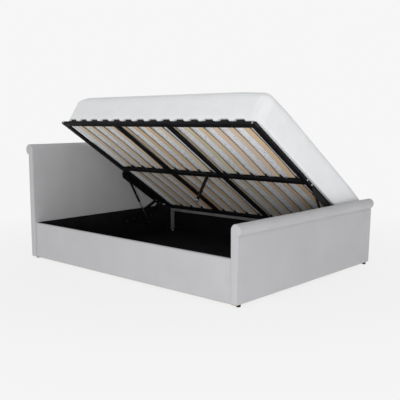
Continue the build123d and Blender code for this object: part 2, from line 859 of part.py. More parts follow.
def short_tubes(name, x, width, runs, with_holes=False):
    """Tubes of the frame along the platform's width, one for each run of s."""
    with BuildPart() as tube:
        for start, finish in runs:
            with BuildSketch(platform_front(start)):
                with Locations((x, frame_tube_height / 2)):
                    Rectangle(width, frame_tube_height)
                    Rectangle(
                        width - 2 * frame_tube_wall,
                        frame_tube_height - 2 * frame_tube_wall,
                        mode=Mode.SUBTRACT,
                    )
            extrude(amount=-(finish - start))
        if with_holes:
            end = 1 if x > 0 else -1
            face = platform_side(end * (platform_half_length + overrun))
            deep = 2 * overrun + frame_tube_wall
            hole = frame_bolt_radius + hole_clearance
            disc(face, end_tube_bolts(), hole, -end * deep, Mode.SUBTRACT)
    keep(tube.part, name)


def end_tube_bolts():
    """Bolts on the outer face of an end tube, either side of the centre tube, as (s, t)."""
    middle = platform_width / 2
    height = frame_tube_height / 2
    return [(middle - end_bolt_offset, height), (middle + end_bolt_offset, height)]


def platform_frame():
    """Tubes of the lifting frame, their plugs and bolts."""
    far_start = platform_width - frame_tube_width
    centre_start = (platform_width - frame_tube_width) / 2
    centre_end = centre_start + frame_tube_width
    end_x = platform_half_length - frame_tube_width / 2
    long_tube("near_tube", 0)
    long_tube("far_tube", far_start)
    short_tubes("head_end_tube", -end_x, frame_tube_width, [(frame_tube_width, far_start)], True)
    short_tubes("foot_end_tube", end_x, frame_tube_width, [(frame_tube_width, far_start)], True)
    halves = [(frame_tube_width, centre_start), (centre_end, far_start)]
    short_tubes("cross_tube_head", cross_tube_head_x, cross_tube_width, halves)
    short_tubes("cross_tube_foot", cross_tube_foot_x, cross_tube_width, halves)
    centre_half = platform_half_length - frame_tube_width
    with BuildPart() as centre_tube:
        with BuildSketch(platform_side(-centre_half)):
            with Locations((platform_width / 2, frame_tube_height / 2)):
                Rectangle(frame_tube_width, frame_tube_height)
                Rectangle(
                    frame_tube_width - 2 * frame_tube_wall,
                    frame_tube_height - 2 * frame_tube_wall,
                    mode=Mode.SUBTRACT,
                )
        extrude(amount=2 * centre_half)
        stem_hole = leg_stem_radius + hole_clearance
        disc(platform_level(-overrun), [(leg_x, platform_width / 2)], stem_hole,
             overrun + frame_tube_wall + overrun, Mode.SUBTRACT)
    keep(centre_tube.part, "centre_tube")
    inside_width = frame_tube_width - 2 * frame_tube_wall - 2 * hole_clearance
    inside_height = frame_tube_height - 2 * frame_tube_wall - 2 * hole_clearance
    with BuildPart() as plugs:
        for s in (frame_tube_width / 2, platform_width - frame_tube_width / 2):
            for end in (-1, 1):
                with BuildSketch(platform_side(end * platform_half_length)):
                    with Locations((s, frame_tube_height / 2)):
                        Rectangle(frame_tube_width, frame_tube_height)
                extrude(amount=end * plug_flange)
                with BuildSketch(platform_side(end * platform_half_length)):
                    with Locations((s, frame_tube_height / 2)):
                        Rectangle(inside_width, inside_height)
                extrude(amount=-end * plug_depth)
    keep(plugs.part, "tube_end_plugs")
    with BuildPart() as bolts:
        for end in (-1, 1):
            spot = (end * (platform_half_length - frame_bolt_inset), frame_tube_height / 2)
            disc(platform_front(0), [spot], frame_bolt_head_radius, frame_bolt_head)
            disc(platform_front(0), [spot], frame_bolt_radius, -(frame_tube_wall + running_clearance))
            face = platform_side(end * platform_half_length)
            disc(face, end_tube_bolts(), frame_bolt_head_radius, end * frame_bolt_head)
            disc(face, end_tube_bolts(), frame_bolt_radius, -end * frame_bolt_length)
    keep(bolts.part, "frame_bolts")


def slat_xs():
    """Middle of each slat along X."""
    return [slat_pitch * number - slat_pocket_inset for number in range(slats_per_row)]


def slat_row(name, start, finish):
    """One row of bowed slats between two runs of caps."""
    length = finish - start
    first = start + slat_end_flat
    last = finish - slat_end_flat
    middle = start + length / 2
    low = slat_base
    high = slat_base + slat_thickness
    with BuildPart() as row:
        for x in slat_xs():
            with BuildSketch(platform_side(x - slat_width / 2)):
                with BuildLine():
                    Line((start, low), (first, low))
                    ThreePointArc((first, low), (middle, low + slat_crown), (last, low))
                    Line((last, low), (finish, low))
                    Line((finish, low), (finish, high))
                    Line((finish, high), (last, high))
                    ThreePointArc((last, high), (middle, high + slat_crown), (first, high))
                    Line((first, high), (start, high))
                    Line((start, high), (start, low))
                make_face()
            extrude(amount=slat_width)
    keep(row.part, name)


def cap_row(name, start, length, pockets):
    """One run of black slat caps. Each pocket is given as its start and end along s."""
    width = slat_width + 2 * cap_wall
    pocket_width = slat_width + 2 * layer_gap
    pocket_base = slat_base
    height = pocket_base + cap_pocket_height + cap_roof - frame_tube_height
    with BuildPart() as row:
        with BuildSketch(platform_level(frame_tube_height)):
            with Locations(*[(x, start + length / 2) for x in slat_xs()]):
                RectangleRounded(width, length, cap_wall)
        extrude(amount=height)
        for pocket_start, pocket_end in pockets:
            middle = (pocket_start + pocket_end) / 2
            with BuildSketch(platform_level(pocket_base)):
                with Locations(*[(x, middle) for x in slat_xs()]):
                    Rectangle(pocket_width, pocket_end - pocket_start)
            extrude(amount=cap_pocket_height, mode=Mode.SUBTRACT)
    keep(row.part, name)


def slats_and_caps():
    """Two rows of slats and the three runs of caps that hold their ends."""
    middle = platform_width / 2
    near_start = slat_end_inset
    near_end = middle - slat_centre_gap
    far_start = middle + slat_centre_gap
    far_end = platform_width - slat_end_inset
    slat_row("slats_near", near_start, near_end)
    slat_row("slats_far", far_start, far_end)
    near_cap = cap_edge_inset
    near_pocket = (near_start - layer_gap, near_cap + cap_length + overrun)
    cap_row("slat_caps_near", near_cap, cap_length, [near_pocket])
    centre_cap = middle - slat_centre_gap - slat_end_flat
    centre_length = 2 * (slat_centre_gap + slat_end_flat)
    pockets = [
        (centre_cap - overrun, near_end + layer_gap),
        (far_start - layer_gap, centre_cap + centre_length + overrun),
    ]
    cap_row("slat_caps_centre", centre_cap, centre_length, pockets)
    far_cap = platform_width - cap_edge_inset - cap_length
    far_pocket = (far_cap - overrun, far_end + layer_gap)
    cap_row("slat_caps_far", far_cap, cap_length, [far_pocket])


def support_leg():
    """Round leg under the centre tube and its adjuster foot."""
    length = closed_bottom_z - floor_top - closed_rest_gap
    tube_length = length - leg_foot_height - leg_stem_show
    spot = (leg_x, platform_width / 2)
    with BuildPart() as leg:
        disc(platform_level(0), [spot], leg_radius, -tube_length)
        disc(platform_level(0), [spot], leg_stem_radius, frame_tube_wall)
        bore = leg_stem_hidden + leg_stem_show + hole_clearance
        disc(platform_level(-tube_length), [spot], leg_stem_radius + hole_clearance, bore, Mode.SUBTRACT)
    keep(leg.part, "support_leg")
    with BuildPart() as foot:
        disc(platform_level(-length), [spot], leg_foot_radius, leg_foot_height)
        stem = leg_stem_show + leg_stem_hidden
        disc(platform_level(-length + leg_foot_height), [spot], leg_stem_radius, stem)
        rim = foot.faces().sort_by(Axis(foot.part.center(), upward))[0].edges()
        chamfer(rim, overrun)
    keep(foot.part, "support_leg_foot")


def bulged(long_low, long_high, short_low, short_high, crown):
    """A cross-section with drawn-in top and bottom edges, bulging sides and a crowned top."""
    inner_low = long_low + mattress_draw_in
    inner_high = long_high - mattress_draw_in
    middle_long = (long_low + long_high) / 2
    middle_short = (short_low + short_high) / 2
    shoulder = short_high - crown
    with BuildLine() as outline:
        Line((inner_low, short_low), (inner_high, short_low))
        ThreePointArc((inner_high, short_low), (long_high, middle_short), (inner_high, shoulder))
        ThreePointArc((inner_high, shoulder), (middle_long, short_high), (inner_low, shoulder))
        ThreePointArc((inner_low, shoulder), (long_low, middle_short), (inner_low, short_low))
    make_face(outline.edges())


def mattress():
    """Mattress with a crowned top and sides that draw in at the edges."""
    base = slat_base + slat_thickness + slat_crown
    top = base + mattress_thickness
    length = mattress_foot_x - mattress_head_x
    width = mattress_far_s - mattress_near_s
    crown = mattress_crown
    spare = 2 * overrun
    with BuildPart() as pad:
        with BuildSketch(platform_side(mattress_head_x - overrun)):
            bulged(mattress_near_s, mattress_far_s, base, top, crown)
        extrude(amount=length + spare)
        with BuildSketch(platform_front(mattress_near_s - overrun)):
            bulged(mattress_head_x, mattress_foot_x, base, top, crown)
        extrude(amount=-(width + spare), mode=Mode.INTERSECT)
        with BuildSketch(platform_level(base - overrun)):
            with Locations((mattress_head_x + length / 2, mattress_near_s + width / 2)):
                RectangleRounded(length + spare, width + spare, mattress_corner_radius)
        extrude(amount=mattress_thickness + spare, mode=Mode.INTERSECT)
    keep(pad.part, "mattress")


os.makedirs("parts", exist_ok=True)
headboard()
footboard()
side_rail("near", -1)
side_rail("far", 1)
end_panels()
well_floor()
glide_feet()
corner_fasteners()
rear_support()
hinge_plates()
base_pins()
arms()
top_pins()
top_bars()
gas_struts()
platform_frame()
slats_and_caps()
support_leg()
mattress()
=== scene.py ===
"""Looks of the ottoman bed: covers, mattress, materials, light and camera, round the fixed CAD frame."""

import json
import math

import bmesh
import bpy
import numpy as np
from mathutils import Matrix, Vector, noise


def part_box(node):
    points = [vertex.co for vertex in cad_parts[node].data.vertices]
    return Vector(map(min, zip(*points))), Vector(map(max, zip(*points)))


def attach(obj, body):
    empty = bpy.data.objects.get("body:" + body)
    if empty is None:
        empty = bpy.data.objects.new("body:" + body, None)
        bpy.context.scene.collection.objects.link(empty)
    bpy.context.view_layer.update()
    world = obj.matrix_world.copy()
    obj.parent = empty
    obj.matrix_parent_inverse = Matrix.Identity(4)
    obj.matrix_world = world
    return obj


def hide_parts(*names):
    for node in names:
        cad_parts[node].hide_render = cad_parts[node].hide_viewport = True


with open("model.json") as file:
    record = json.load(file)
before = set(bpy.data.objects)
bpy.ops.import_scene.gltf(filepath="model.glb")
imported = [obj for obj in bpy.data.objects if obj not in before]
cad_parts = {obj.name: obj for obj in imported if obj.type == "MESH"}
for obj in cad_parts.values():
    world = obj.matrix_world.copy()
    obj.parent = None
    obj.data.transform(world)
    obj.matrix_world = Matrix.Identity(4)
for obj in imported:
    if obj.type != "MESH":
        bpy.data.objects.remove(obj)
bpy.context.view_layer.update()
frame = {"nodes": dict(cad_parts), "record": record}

# Sizes in metres. Those of the covers come from the frame
foot_low, foot_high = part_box("footboard_cover")
rail_low, rail_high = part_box("near_rail_cover")
core_low, core_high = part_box("near_rail_core")
WELL_HALF = foot_low.x
HALF_WIDTH = foot_high.y
FLOOR_GAP = foot_low.z
HEAD_THICKNESS = 0.053
FOOT_BASE_THICKNESS = 0.043
FOOT_TOP_THICKNESS = 0.054
BOARD_END_EDGE = 0.007
BOARD_LOW_EDGE = 0.006
BOARD_LOW_CORNER = 0.017
ROLL_CREASE = 0.004
TURN_IN = 0.060
COVER = 0.005
RAIL_OUTER_EDGE = 0.008
RAIL_INNER_EDGE = 0.005
RAIL_END_EDGE = 0.001

# Cloth: its waves and divisions on the boards and rails, and the threads of the covers and the mattress
CLOTH_WAVES = 0.0012
WAVES_ALONG, WAVES_ACROSS, WAVES_UP = 3.1, 9.0, 4.3
WAVES_FADE = 0.1
OUTLINE_STEP = 0.012
RAIL_STEP = 0.025
THREAD = 0.0022
KNIT = 0.003

# The open platform is the closed one turned about a line over the far side. Its places are (x, s, t):
# s runs from its near edge and t is the height above the underside of its tubes
OPENING = math.radians(33.65)
TURN_CENTRE = (0.710, 0.342)
CLOSED_NEAR_EDGE = (-0.730, 0.254)

# Mattress, in the platform's places. A slump is a depth at the corner and a reach from it
PAD_HEAD = -0.934
PAD_FOOT = 0.990
PAD_NEAR = -0.004
PAD_FAR = 1.484
PAD_BASE = 0.040
PAD_TOP = 0.265
PAD_CORNER = 0.065
PAD_SHOULDER = 0.042
PAD_LOW_EDGE = 0.007
PAD_BORDER = 0.060
PAD_DROOP = 0.016
HEAD_SLUMP = (0.030, 0.14)
FOOT_SLUMP = (0.012, 0.28)
SEAM_GROOVE = 0.004
MIDDLE_GAP = 0.006
LENGTH_POINTS, WIDTH_POINTS, CORNER_POINTS = 84, 66, 12
FLAT_RINGS, WALL_RINGS, SHOULDER_RINGS = 16, 9, 8
SWELL_LIMIT = 0.006
SWELL_FRAMES = 20
SLACK = 0.002
PIPE = 0.0025
PIPE_STEP = 0.008

# Slats under the mattress: where the last ones end, and where it starts to hang and hangs in full
SLAT_PITCH = 0.1296
LAST_SLAT = 0.869
CAP_HALF = 0.0295
PAST_SLATS = (0.008, 0.055)
PAST_CAP = (0.002, 0.020)
FROM_EDGE = (0.015, 0.060)

# Camera, floor and light
CAMERA_AZIMUTH = math.radians(42.418)
CAMERA_ELEVATION = math.radians(7.199)
CAMERA_ROLL = math.radians(-0.172)
CAMERA_TARGET = (0.01315, 0.02523, 0.47584)
CAMERA_DISTANCE = 4.986
CAMERA_LENS = 57.918
SENSOR = 36
BACKGROUND = 0.9216
WORLD_LIGHT = 0.62
FLOOR_HALF = 30
GLOW_RADII = (1.2, 3.2)
GLOW_SHARES = (0.86, 1.0)


def platform_point(x, s, t):
    """A place on the platform as a place in the room."""
    dy = CLOSED_NEAR_EDGE[0] + s - TURN_CENTRE[0]
    dz = CLOSED_NEAR_EDGE[1] + t - TURN_CENTRE[1]
    along, rise = math.cos(OPENING), math.sin(OPENING)
    y = TURN_CENTRE[0] + dy * along + dz * rise
    z = TURN_CENTRE[1] - dy * rise + dz * along
    return (x, y, z)


def new_object(name, verts, faces):
    """A smooth mesh object whose faces all look outward."""
    mesh = bpy.data.meshes.new(name)
    mesh.from_pydata([tuple(v) for v in verts], [], faces)
    work = bmesh.new()
    work.from_mesh(mesh)
    bmesh.ops.recalc_face_normals(work, faces=work.faces)
    work.to_mesh(mesh)
    work.free()
    for poly in mesh.polygons:
        poly.use_smooth = True
    obj = bpy.data.objects.new(name, mesh)
    bpy.context.scene.collection.objects.link(obj)
    return obj


def band_faces(rings, count, closed=False):
    """The faces between rings of points in a row. If closed, the last ring is joined to the first."""
    faces = []
    for ring in range(rings if closed else rings - 1):
        here = ring * count
        there = (ring + 1) % rings * count
        for k in range(count):
            n = (k + 1) % count
            faces.append((here + k, here + n, there + n, there + k))
    return faces


def arc(cx, cz, radius, start, stop, count):
    """Points on an arc, angles in degrees."""
    out = []
    for k in range(count + 1):
        a = math.radians(start + (stop - start) * k / count)
        out.append((cx + radius * math.cos(a), cz + radius * math.sin(a)))
    return out


def resample(points, step):
    """A closed outline with its long runs divided. Corners stay."""
    out = []
    for k, here in enumerate(points):
        a = np.array(here)
        b = np.array(points[(k + 1) % len(points)])
        parts = max(1, math.ceil(float(np.linalg.norm(b - a)) / step))
        for m in range(parts):
            out.append(a + (b - a) * m / parts)
    return np.array(out)


def unit(rows):
    """Rows scaled to length one."""
    return rows / np.maximum(np.linalg.norm(rows, axis=1, keepdims=True), 1e-9)


def inward_normals(points):
    """Unit normals that point into a closed outline."""
    before = np.roll(points, 1, axis=0)
    after = np.roll(points, -1, axis=0)
    tangent = unit(unit(points - before) + unit(after - points))
    normal = np.stack([-tangent[:, 1], tangent[:, 0]], axis=1)
    turning = np.sum(points[:, 0] * after[:, 1] - after[:, 0] * points[:, 1])
    return normal if turning > 0 else -normal


def end_sections(start, stop, edge, step):
    """Places along a board and how far its outline is drawn in there, so that its ends are rounded."""
    turns = 5
    rounding = []
    for k in range(turns + 1):
        a = math.radians(90 * k / turns)
        rounding.append((edge * (1 - math.cos(a)), edge * (1 - math.sin(a))))
    plain = stop - start - 2 * edge
    count = max(1, int(plain / step))
    sections = [(start + depth, inset) for depth, inset in rounding]
    sections += [(start + edge + plain * k / count, 0.0) for k in range(1, count)]
    sections += [(stop - depth, inset) for depth, inset in reversed(rounding)]
    return sections


def loft(name, outline, start, stop, along, edge, step, waves=0.0, low_corner=0.0):
    """A padded board: an outline run along an axis, its end edges rounded and its cloth slightly wavy."""
    points = resample(outline, OUTLINE_STEP)
    normals = inward_normals(points)
    sections = end_sections(start, stop, edge, step)
    base = float(points[:, 1].min())
    verts = []
    for place, inset in sections:
        from_end = min(place - start, stop - place)
        fade = min(1.0, from_end / WAVES_FADE)
        lift = 0.0
        if from_end < low_corner:
            lift = low_corner - math.sqrt(low_corner ** 2 - (low_corner - from_end) ** 2)
        for (u, z), normal in zip(points, normals):
            spot = Vector((place * WAVES_ALONG, u * WAVES_ACROSS, z * WAVES_UP))
            push = inset
            if waves:
                push += waves * fade * (noise.noise(spot) + 0.4 * noise.noise(spot * 2.7))
            across = u + normal[0] * push
            height = max(z + normal[1] * push, base + lift)
            verts.append((across, place, height) if along == "Y" else (place, across, height))
    count = len(points)
    faces = band_faces(len(sections), count)
    last = (len(sections) - 1) * count
    faces.append(tuple(range(count)))
    faces.append(tuple(range(last + count - 1, last - 1, -1)))
    return new_object(name, verts, faces)


# Materials
class Nodes:
    """Short names for building a node material."""

    def __init__(self, name):
        self.material = bpy.data.materials.new(name)
        self.material.use_nodes = True
        self.tree = self.material.node_tree
        self.shader = self.tree.nodes["Principled BSDF"]
        self.coords = self.add("ShaderNodeTexCoord").outputs["Object"]

    def add(self, kind):
        """A new node."""
        return self.tree.nodes.new(kind)

    def link(self, a, b):
        """A link from an output to an input."""
        self.tree.links.new(a, b)

    def put(self, value, socket):
        """A number, a colour or another node's output into a socket."""
        if isinstance(value, (int, float)):
            socket.default_value = value
        elif isinstance(value, tuple):
            socket.default_value = (*value, 1)
        else:
            self.link(value, socket)

    def noise(self, scale, detail=4.0, rough=0.55, vector=None):
        """Cloudy noise from 0 to 1."""
        node = self.add("ShaderNodeTexNoise")
        node.inputs["Scale"].default_value = scale
        node.inputs["Detail"].default_value = detail
        node.inputs["Roughness"].default_value = rough
        self.link(vector or self.coords, node.inputs["Vector"])
        return node.outputs["Fac"]

    def wave(self, axis, length):
        """Threads across an axis, one every length."""
        node = self.add("ShaderNodeTexWave")
        node.bands_direction = axis
        node.inputs["Scale"].default_value = math.pi / 10 / length
        node.inputs["Distortion"].default_value = 0.6
        node.inputs["Detail Scale"].default_value = 1.5
        self.link(self.coords, node.inputs["Vector"])
        return node.outputs["Fac"]

    def weave(self, length):
        """Threads across all three axes."""
        threads = self.math("ADD", self.wave("Y", length), self.wave("Z", length))
        return self.math("ADD", self.wave("X", length), threads)

    def stretched(self, scale, tilt=0.0):
        """The object's coordinates, turned about X and then scaled."""
        turn = self.add("ShaderNodeMapping")
        turn.inputs["Rotation"].default_value = (tilt, 0, 0)
        self.link(self.coords, turn.inputs["Vector"])
        grow = self.add("ShaderNodeMapping")
        grow.inputs["Scale"].default_value = scale
        self.link(turn.outputs["Vector"], grow.inputs["Vector"])
        return grow.outputs["Vector"]

    def split(self, vector):
        """The X, Y and Z of a vector."""
        node = self.add("ShaderNodeSeparateXYZ")
        self.link(vector, node.inputs["Vector"])
        return node.outputs

    def ramp(self, source, stops):
        """A value turned into a colour by stops of place and colour."""
        node = self.add("ShaderNodeValToRGB")
        ramp = node.color_ramp
        while len(ramp.elements) < len(stops):
            ramp.elements.new(0.5)
        for element, (place, colour) in zip(ramp.elements, stops):
            element.position = place
            element.color = (*colour, 1)
        self.link(source, node.inputs["Fac"])
        return node.outputs["Color"]

    def math(self, kind, a, b=0.0):
        """A sum or comparison of two numbers or outputs."""
        node = self.add("ShaderNodeMath")
        node.operation = kind
        self.put(a, node.inputs[0])
        self.put(b, node.inputs[1])
        return node.outputs[0]

    def mix(self, factor, a, b, kind="MIX"):
        """Two colours blended."""
        node = self.add("ShaderNodeMix")
        node.data_type = "RGBA"
        node.blend_type = kind
        colours = [s for s in node.inputs if s.type == "RGBA"]
        self.put(factor, node.inputs["Factor"])
        self.put(a, colours[0])
        self.put(b, colours[1])
        return [s for s in node.outputs if s.type == "RGBA"][0]

    def bump(self, height, strength, distance, under=None):
        """A rough surface from a height, over another one if given."""
        node = self.add("ShaderNodeBump")
        node.inputs["Strength"].default_value = strength
        node.inputs["Distance"].default_value = distance
        self.link(height, node.inputs["Height"])
        if under is not None:
            self.link(under, node.inputs["Normal"])
        return node.outputs["Normal"]

    def done(self, colour, rough, normal, metallic=0.0, sheen=0.0, specular=0.5):
        """The finished material."""
        inputs = self.shader.inputs
        self.put(colour, inputs["Base Color"])
        self.put(rough, inputs["Roughness"])
        self.link(normal, inputs["Normal"])
        inputs["Metallic"].default_value = metallic
        inputs["Specular IOR Level"].default_value = specular
        inputs["Sheen Weight"].default_value = sheen
        return self.material


# The slats' tints, cream, tan, pink, olive and orange, and the numbers that each row draws its tints with
SLAT_TINTS = [
    (0.0, (1.0, 0.97, 0.90)),
    (0.25, (0.95, 0.83, 0.66)),
    (0.5, (1.0, 0.84, 0.76)),
    (0.75, (0.84, 0.83, 0.68)),
    (1.0, (0.97, 0.70, 0.50)),
]
FIRST_ROW_TINTS = 265.0
NEXT_ROW_TINTS = 31.0

# The dark, middle and light tones under the mattress
MOTTLES = [(0.3, (0.44, 0.45, 0.56)), (0.5, (0.79, 0.80, 0.86)), (0.7, (0.93, 0.94, 0.97))]


def woven(name, light, dark):
    """Plain woven upholstery cloth with slubs and a soft change of tone."""
    n = Nodes(name)
    slubs = n.noise(420.0, 3.0, 0.6)
    broad = n.noise(5.0, 3.0, 0.5)
    tone = n.math("ADD", n.math("MULTIPLY", slubs, 0.6), n.math("MULTIPLY", broad, 0.4))
    colour = n.ramp(tone, [(0.3, dark), (0.7, light)])
    threads = n.bump(n.weave(THREAD), 0.5, THREAD * 0.25)
    return n.done(colour, 0.95, n.bump(slubs, 0.25, 0.0008, threads), sheen=0.1, specular=0.2)


def slat_wood(name, pale, deep, tints, side):
    """Birch slats with their grain along the slat, a tint of their own, and painted shade on their side
    edges.
    """
    n = Nodes(name)
    grain = n.noise(1.0, 6.0, 0.6, n.stretched((90.0, 3.5, 40.0), OPENING))
    colour = n.ramp(grain, [(0.35, deep), (0.65, pale)])
    along = n.split(n.coords)["X"]
    row = n.math("GREATER_THAN", n.split(n.stretched((1, 1, 1), OPENING))["Y"], 0.0)
    number = n.math("ROUND", n.math("ADD", n.math("DIVIDE", along, SLAT_PITCH), 0.5))
    number = n.math("ADD", number, FIRST_ROW_TINTS)
    own = n.add("ShaderNodeTexWhiteNoise")
    own.noise_dimensions = "1D"
    n.link(n.math("ADD", number, n.math("MULTIPLY", row, NEXT_ROW_TINTS)), own.inputs["W"])
    colour = n.mix(1.0, colour, n.ramp(own.outputs["Value"], tints), "MULTIPLY")
    # Faces that look along X, the slats' sides, take painted shade in place of the wood: the shadowed side
    # edges under the mattress
    facing = n.split(n.add("ShaderNodeNewGeometry").outputs["Normal"])["X"]
    edge = n.math("GREATER_THAN", n.math("ABSOLUTE", facing), 0.7)
    colour = n.mix(edge, colour, side)
    rough = n.math("ADD", n.math("MULTIPLY", grain, 0.2), 0.45)
    return n.done(colour, rough, n.bump(grain, 0.2, 0.0006), specular=0.3)


def coated(name, colour, worn, rough, specular):
    """Powder-coated steel: fine orange peel and a slight change of tone."""
    n = Nodes(name)
    broad = n.noise(14.0, 4.0, 0.6)
    tone = n.ramp(broad, [(0.35, colour), (0.75, worn)])
    shine = n.math("ADD", n.math("MULTIPLY", broad, 0.2), rough - 0.1)
    return n.done(tone, shine, n.bump(n.noise(700.0, 2.0, 0.5), 0.12, 0.0004), specular=specular)


def brushed(name, colour, dark):
    """Bright zinc-plated steel."""
    n = Nodes(name)
    streak = n.noise(900.0, 3.0, 0.6)
    tone = n.ramp(streak, [(0.3, dark), (0.7, colour)])
    return n.done(tone, 0.32, n.bump(streak, 0.1, 0.0002), metallic=1.0)


def moulded(name, colour, pale):
    """Moulded plastic with a fine grain."""
    n = Nodes(name)
    tone = n.ramp(n.noise(30.0, 3.0, 0.5), [(0.3, colour), (0.8, pale)])
    return n.done(tone, 0.6, n.bump(n.noise(1500.0, 2.0, 0.5), 0.3, 0.0003), specular=0.3)


def board(name, colour, pale):
    """Pale unfinished wood of the hidden cores, battens and bearer."""
    n = Nodes(name)
    grain = n.noise(1.0, 5.0, 0.6, n.stretched((3.0, 40.0, 60.0)))
    tone = n.ramp(grain, [(0.3, colour), (0.7, pale)])
    return n.done(tone, 0.7, n.bump(grain, 0.2, 0.0005))


def lining(name, colour, lighter):
    """Black felted lining of the storage well."""
    n = Nodes(name)
    fuzz = n.noise(600.0, 4.0, 0.7)
    tone = n.ramp(n.math("MULTIPLY", fuzz, n.noise(7.0, 3.0, 0.5)), [(0.15, colour), (0.45, lighter)])
    return n.done(tone, 0.9, n.bump(fuzz, 0.4, 0.0006), specular=0.15)


def ticking(name, pale, shade):
    """Knitted white mattress cloth."""
    n = Nodes(name)
    tone = n.ramp(n.noise(9.0, 3.0, 0.5), [(0.3, shade), (0.7, pale)])
    return n.done(tone, 0.9, n.bump(n.weave(KNIT), 0.3, 0.0006), sheen=0.1, specular=0.2)


def mottled(name, stops):
    """Blotched cloth under the mattress, seen between the slats."""
    n = Nodes(name)
    cells = n.add("ShaderNodeTexVoronoi")
    cells.inputs["Scale"].default_value = 42.0
    n.link(n.coords, cells.inputs["Vector"])
    spots = n.math("MULTIPLY", cells.outputs["Distance"], 0.6)
    mixed = n.math("ADD", spots, n.math("MULTIPLY", n.noise(55.0, 4.0, 0.65), 0.7))
    return n.done(n.ramp(mixed, stops), 0.95, n.bump(mixed, 0.5, 0.002), sheen=0.1, specular=0.15)


cloth = woven("light_grey_weave", (0.555, 0.555, 0.569), (0.475, 0.475, 0.489))
black_steel = coated("black_powder_coat", (0.005, 0.005, 0.006), (0.010, 0.010, 0.012), 0.6, 0.12)
grey_steel = coated("grey_powder_coat", (0.20, 0.20, 0.205), (0.30, 0.30, 0.305), 0.42, 0.5)
bright = brushed("zinc_plate", (0.72, 0.72, 0.73), (0.50, 0.50, 0.51))
plastic = moulded("black_moulding", (0.008, 0.008, 0.009), (0.013, 0.013, 0.015))
bare_wood = board("bare_wood", (0.40, 0.28, 0.17), (0.55, 0.41, 0.27))
felt = lining("black_lining", (0.005, 0.005, 0.0065), (0.015, 0.015, 0.018))
# The slats' last colour is painted shade: the near-black of their shadowed side faces
birch = slat_wood("birch", (0.95, 0.87, 0.76), (0.85, 0.75, 0.63), SLAT_TINTS, (0.20, 0.185, 0.17))
white_cloth = ticking("mattress_knit", (0.88, 0.89, 0.90), (0.84, 0.85, 0.86))
# The piping tape is a little greyer than the knit: partly its own tone, partly painted shade for the dark
# line along the mattress's seams
piping_tape_with_shade = ticking("mattress_tape", (0.79, 0.80, 0.82), (0.73, 0.74, 0.76))
under_cloth = mottled("mattress_under", MOTTLES)

SLOT_LOOKS = {
    "black_steel": black_steel,
    "grey_steel": grey_steel,
    "bright_steel": bright,
    "black_plastic": plastic,
    "board_wood": bare_wood,
    "roll_foam": bare_wood,
    "black_panel": felt,
    "slat_birch": birch,
    "mattress_ticking": white_cloth,
    "light_grey_fabric": cloth,
}


def dress_frame():
    """Gives every CAD node the look of its material slot."""
    for row in frame["record"]["subparts"]:
        node = frame["nodes"][row["node"]]
        look = SLOT_LOOKS[row["material_slot"]]
        if not node.material_slots:
            node.data.materials.append(look)
        for slot in node.material_slots:
            slot.material = look


def settle(obj, look, body):
    """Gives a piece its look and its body."""
    obj.data.materials.append(look)
    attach(obj, body)


# Upholstered boards and rails
def board_outline(height, roll, base_thickness, top_thickness):
    """Distance out from the well, and height, round a board whose top ends in a roll over its outer side."""
    turn = math.degrees(math.acos((top_thickness - ROLL_CREASE - roll) / roll))
    crease_z = height - roll - roll * math.sin(math.radians(turn))
    low_z = FLOOR_GAP + BOARD_LOW_EDGE
    out = arc(base_thickness - BOARD_LOW_EDGE, low_z, BOARD_LOW_EDGE, -90, 0, 3)
    out.append((top_thickness, crease_z - 2 * ROLL_CREASE))
    out += arc(roll, height - roll, roll, -turn, 180, 44)
    out += arc(BOARD_LOW_EDGE, low_z, BOARD_LOW_EDGE, 180, 270, 3)
    return out


def make_board(name, side, base_thickness, top_thickness):
    """A padded board at one end of the bed. side is -1 at the head and 1 at the foot."""
    low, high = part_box(name + "_cover")
    roll = (high.x - low.x) / 2
    outline = board_outline(high.z, roll, base_thickness, top_thickness)
    placed = [(side * (WELL_HALF + u), z) for u, z in outline]
    obj = loft(name + "_upholstery", placed, -HALF_WIDTH, HALF_WIDTH, "Y", BOARD_END_EDGE, OUTLINE_STEP,
               waves=CLOTH_WAVES, low_corner=BOARD_LOW_CORNER)
    settle(obj, cloth, "base")
    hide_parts(name + "_cover")


def rail_outline(side):
    """The cloth on a side rail: its outer face, over the top edge, and turned in behind the board."""
    outer, inner, top = -rail_low.y, -rail_high.y, rail_high.z
    core_outer, core_inner = -core_low.y, -core_high.y
    out = [(outer, FLOOR_GAP)]
    out += arc(outer - RAIL_OUTER_EDGE, top - RAIL_OUTER_EDGE, RAIL_OUTER_EDGE, 0, 90, 5)
    out += arc(inner + RAIL_INNER_EDGE, top - RAIL_INNER_EDGE, RAIL_INNER_EDGE, 90, 180, 4)
    out += [
        (inner, top - COVER - TURN_IN),
        (core_inner, top - COVER - TURN_IN),
        (core_inner, top - COVER),
        (core_outer, top - COVER),
        (core_outer, FLOOR_GAP),
    ]
    return [(side * y, z) for y, z in out]


def make_rail(name, side):
    """The cover of a side rail. side is -1 at the near side and 1 at the far side."""
    outline = rail_outline(side)
    obj = loft(name + "_rail_upholstery", outline, -WELL_HALF, WELL_HALF, "X", RAIL_END_EDGE, RAIL_STEP)
    settle(obj, cloth, "base")
    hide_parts(name + "_rail_cover")


